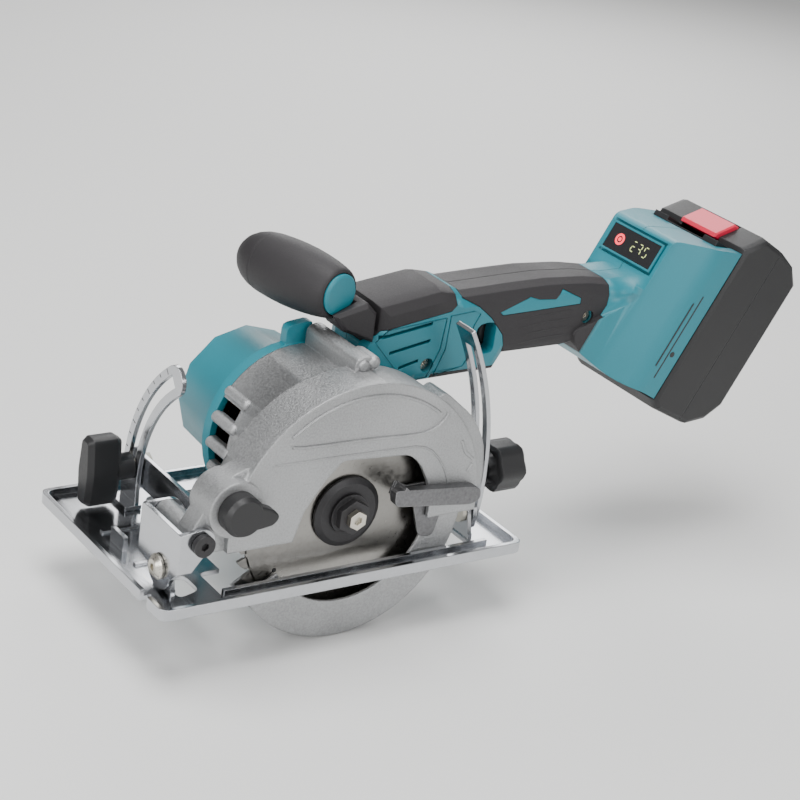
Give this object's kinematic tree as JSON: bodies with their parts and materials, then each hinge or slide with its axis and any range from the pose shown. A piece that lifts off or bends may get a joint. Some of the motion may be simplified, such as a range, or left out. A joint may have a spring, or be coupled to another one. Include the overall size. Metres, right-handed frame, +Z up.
{
  "type": "circular saw",
  "caption": "Compact cordless circular saw with a tilting shoe, depth strip, sprung lower guard, straight grip, front handle and slide-on battery.",
  "frame": {"origin": "on the sole, at the middle of the solid front plate of the shoe", "axes": "+X to the rear (battery end), -X the cutting direction, -Y the blade side, +Y the motor side, +Z up from the sole"},
  "size_m": [0.4122, 0.1383, 0.1853],
  "materials": {
    "cast_silver": "sand-blasted",
    "bright_plating": "bright zinc or chrome plated sheet",
    "blade_steel": "ground",
    "black_steel": "blackened",
    "plain_steel": "plain",
    "teal_plastic": "moulded, fine grain",
    "black_rubber": "overmoulded, matt",
    "black_plastic": "moulded",
    "grey_plastic": "moulded, textured",
    "red_plastic": "moulded",
    "board_green": "lacquered",
    "winding_copper": "enamelled wire on iron",
    "cell_wrap": "wrapped cells"
  },
  "bodies": {
    "base": {"base_plate": "bright_plating", "bevel_quadrant": "bright_plating"},
    "tilting_frame": {"front_bracket": "bright_plating", "bevel_pivot_screw": "plain_steel", "rear_bracket": "bright_plating", "rear_pivot_pin": "plain_steel", "depth_strip": "bright_plating", "depth_pivot_screw": "black_steel", "bevel_lock_nut": "plain_steel"},
    "bevel_lock": {"bevel_knob": "black_plastic", "bevel_knob_bolt": "plain_steel"},
    "saw_body": {"upper_guard": "cast_silver", "gear_cover": "cast_silver", "spindle_bearing_front": "plain_steel", "spindle_bearing_rear": "plain_steel", "motor_bearing_front": "plain_steel", "motor_bearing_rear": "plain_steel", "stator": "winding_copper", "guard_spring": "black_steel", "housing_left": "teal_plastic", "housing_right": "teal_plastic", "grip_left": "black_rubber", "grip_right": "black_rubber", "upper_cover": "black_rubber", "underside_pad": "black_rubber", "housing_screw_1": "plain_steel", "housing_screw_2": "plain_steel", "trigger_switch": "black_plastic", "controller_board": "board_green", "terminal_block": "black_plastic", "display_panel": "black_plastic", "aux_handle": "black_rubber", "aux_cap": "teal_plastic", "aux_neck": "black_rubber"},
    "trigger_lever": {"trigger": "black_plastic"},
    "lock_off": {"lock_off_button": "black_plastic"},
    "depth_lock": {"depth_knob": "black_plastic", "depth_knob_bolt": "plain_steel"},
    "front_lever": {"front_lever": "black_plastic"},
    "blade_set": {"saw_blade": "blade_steel", "inner_flange": "black_steel", "outer_flange": "black_steel", "blade_nut": "black_steel", "blade_bolt": "plain_steel", "spindle": "plain_steel", "spindle_gear": "black_steel"},
    "rotor": {"motor_shaft": "plain_steel", "rotor_core": "black_steel", "cooling_fan": "grey_plastic"},
    "lower_guard": {"lower_guard": "cast_silver", "lift_lever": "bright_plating"},
    "battery": {"battery_upper_case": "grey_plastic", "battery_lower_case": "grey_plastic", "battery_cells": "cell_wrap"},
    "battery_latch": {"battery_latch": "red_plastic"}
  },
  "joints": [
    {"name": "bevel_tilt", "type": "hinge", "parent": "base", "child": "tilting_frame", "pos_m": [0.025, -0.043, 0.015], "axis": [1, 0, 0], "range_deg": [0, 45]},
    {"name": "depth_swing", "type": "hinge", "parent": "tilting_frame", "child": "saw_body", "pos_m": [-0.002, -0.05, 0.0335], "axis": [0, -1, 0], "range_deg": [-3, 20]},
    {"name": "bevel_lock_turn", "type": "hinge", "parent": "tilting_frame", "child": "bevel_lock", "pos_m": [0.005, 0.0446, 0.02343], "axis": [1, 0, 0], "range_deg": [-90, 90]},
    {"name": "depth_lock_turn", "type": "hinge", "parent": "saw_body", "child": "depth_lock", "pos_m": [0.18, -0.0405, 0.0375], "axis": [1, 0, 0], "range_deg": [-180, 180]},
    {"name": "front_lever_turn", "type": "hinge", "parent": "saw_body", "child": "front_lever", "pos_m": [0.013, -0.068, 0.0505], "axis": [0, -1, 0], "range_deg": [0, 90]},
    {"name": "blade_spin", "type": "hinge", "parent": "saw_body", "child": "blade_set", "pos_m": [0.085, -0.05, 0.0325], "axis": [0, 1, 0], "continuous": true},
    {"name": "rotor_spin", "type": "hinge", "parent": "saw_body", "child": "rotor", "pos_m": [0.07999, 0.01, 0.05546], "axis": [0, 1, 0], "continuous": true},
    {"name": "lower_guard_swing", "type": "hinge", "parent": "saw_body", "child": "lower_guard", "pos_m": [0.085, -0.05, 0.0325], "axis": [0, -1, 0], "range_deg": [0, 110], "stiffness_Nm_per_rad": 0.06, "springref_deg": -28.65},
    {"name": "trigger_pull", "type": "slide", "parent": "saw_body", "child": "trigger_lever", "axis": [1, 0, 0], "range_m": [0, 0.005], "stiffness_N_per_m": 500, "springref_m": -0.002},
    {"name": "lock_off_push", "type": "slide", "parent": "saw_body", "child": "lock_off", "axis": [0, -1, 0], "range_m": [0, 0.0025], "stiffness_N_per_m": 500, "springref_m": -0.001},
    {"name": "battery_slide", "type": "slide", "parent": "saw_body", "child": "battery", "axis": [0.4787, 0, 0.878], "range_m": [0, 0.09]},
    {"name": "latch_press", "type": "slide", "parent": "battery", "child": "battery_latch", "axis": [-0.4787, 0, -0.878], "range_m": [0, 0.003], "stiffness_N_per_m": 500, "springref_m": -0.001}
  ],
  "couplings": [
    {"joint": "rotor_spin", "follows": "blade_spin", "ratio": -4.2222}
  ]
}
